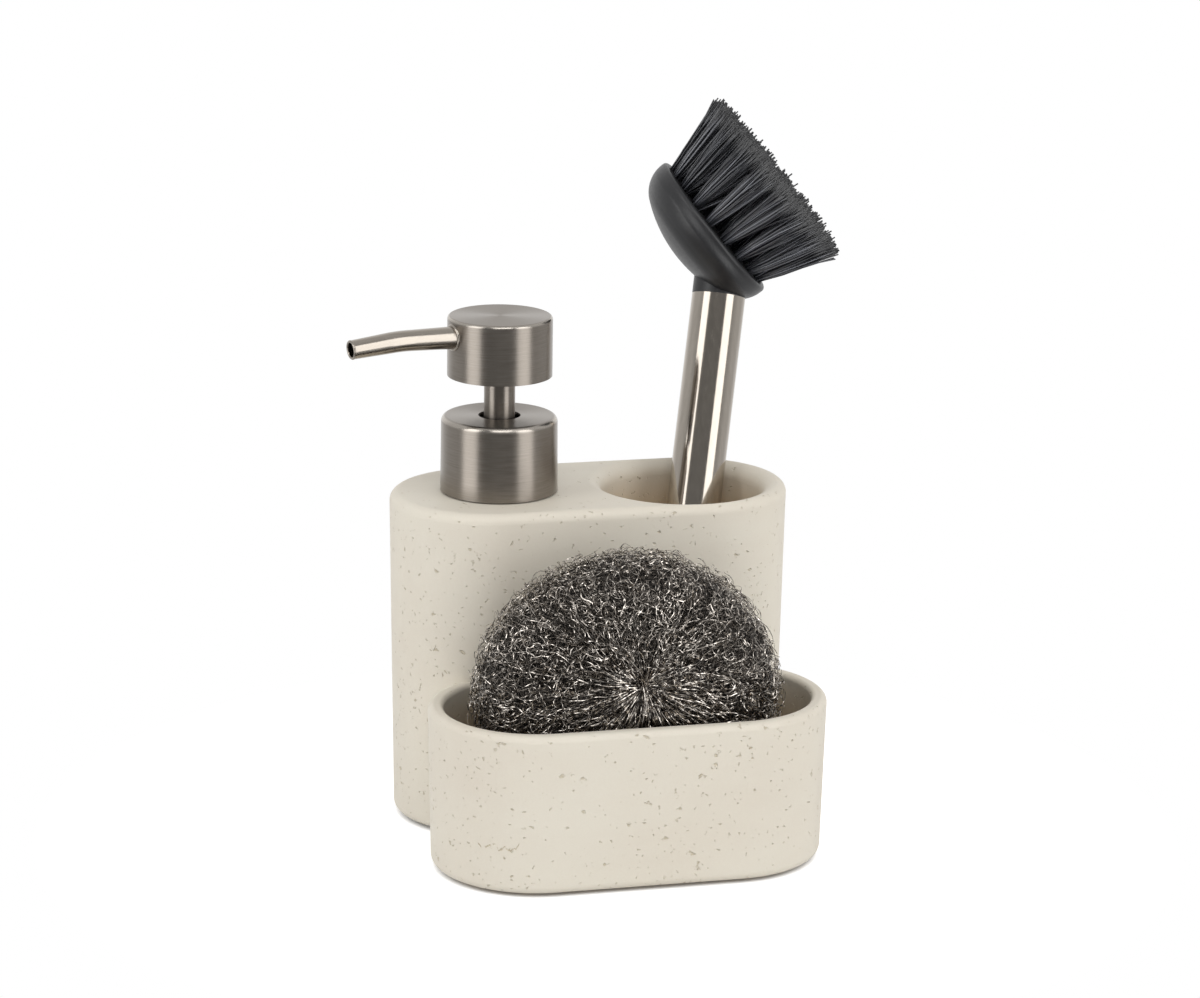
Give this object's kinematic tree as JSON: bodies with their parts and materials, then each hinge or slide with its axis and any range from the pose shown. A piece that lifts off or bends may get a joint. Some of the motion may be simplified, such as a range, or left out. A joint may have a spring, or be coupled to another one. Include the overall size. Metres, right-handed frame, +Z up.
{
  "type": "soap pump caddy",
  "caption": "Stone-look sink caddy with a lotion pump over a built-in soap reservoir, a round well holding a dish brush and a front trough holding a wire scourer.",
  "frame": {"origin": "centre of the rear block's footprint, on the surface that the base pad stands on", "axes": "+Z up, -Y towards the trough at the front, +X towards the brush well"},
  "size_m": [0.1605, 0.1441, 0.2072],
  "materials": {
    "cast_stone": "matte",
    "pad_foam": "matte",
    "white_plastic": "satin",
    "clear_plastic": "satin",
    "dark_plastic": "satin",
    "seal_rubber": "matte",
    "satin_steel": "satin",
    "bright_steel": "polished",
    "spring_steel": "satin",
    "black_plastic": "satin",
    "black_nylon": "satin",
    "wire_knit": "satin"
  },
  "bodies": {
    "caddy": {"caddy_body": "cast_stone", "base_pad": "pad_foam", "neck_insert": "white_plastic"},
    "pump": {"pump_housing": "clear_plastic", "neck_gasket": "seal_rubber", "housing_cap": "dark_plastic", "ball_retainer": "white_plastic", "dip_tube": "clear_plastic", "return_spring": "spring_steel"},
    "collar": {"collar_shell": "satin_steel", "collar_closure": "white_plastic"},
    "plunger": {"piston": "white_plastic", "piston_stem": "white_plastic", "stem_sleeve": "satin_steel"},
    "head": {"head_shell": "satin_steel", "actuator_insert": "dark_plastic", "spout_tube": "bright_steel"},
    "valve_ball": {"inlet_ball": "bright_steel"},
    "brush": {"handle_tube": "bright_steel", "handle_end_cap": "black_plastic", "brush_head": "black_plastic", "bristle_tufts": "black_nylon", "tuft_anchors": "spring_steel"},
    "scourer": {"scourer": "wire_knit"}
  },
  "joints": [
    {"name": "pump_rise", "type": "slide", "parent": "caddy", "child": "pump", "axis": [0, 0, 1], "range_m": [0, 0.0045]},
    {"name": "collar_turn", "type": "hinge", "parent": "pump", "child": "collar", "pos_m": [-0.0275, 0, 0.0994], "axis": [0, 0, 1], "range_deg": [0, 540]},
    {"name": "pump_press", "type": "slide", "parent": "pump", "child": "plunger", "axis": [0, 0, -1], "range_m": [0, 0.011], "stiffness_N_per_m": 500, "springref_m": -0.006, "deforming": ["return_spring"]},
    {"name": "head_swivel", "type": "hinge", "parent": "plunger", "child": "head", "pos_m": [-0.0275, 0, 0.13445], "axis": [0, 0, 1], "continuous": true},
    {"name": "inlet_ball_lift", "type": "slide", "parent": "pump", "child": "valve_ball", "axis": [0, 0, 1], "range_m": [0, 0.00115]},
    {"name": "brush_lift", "type": "slide", "parent": "caddy", "child": "brush", "axis": [0.1838, 0.2908, 0.939], "range_m": [0, 0.11]},
    {"name": "scourer_lift", "type": "slide", "parent": "caddy", "child": "scourer", "axis": [0, 0, 1], "range_m": [0, 0.06]}
  ],
  "couplings": [
    {"joint": "pump_rise", "follows": "collar_turn", "m_per_rad": 0.00047746}
  ]
}
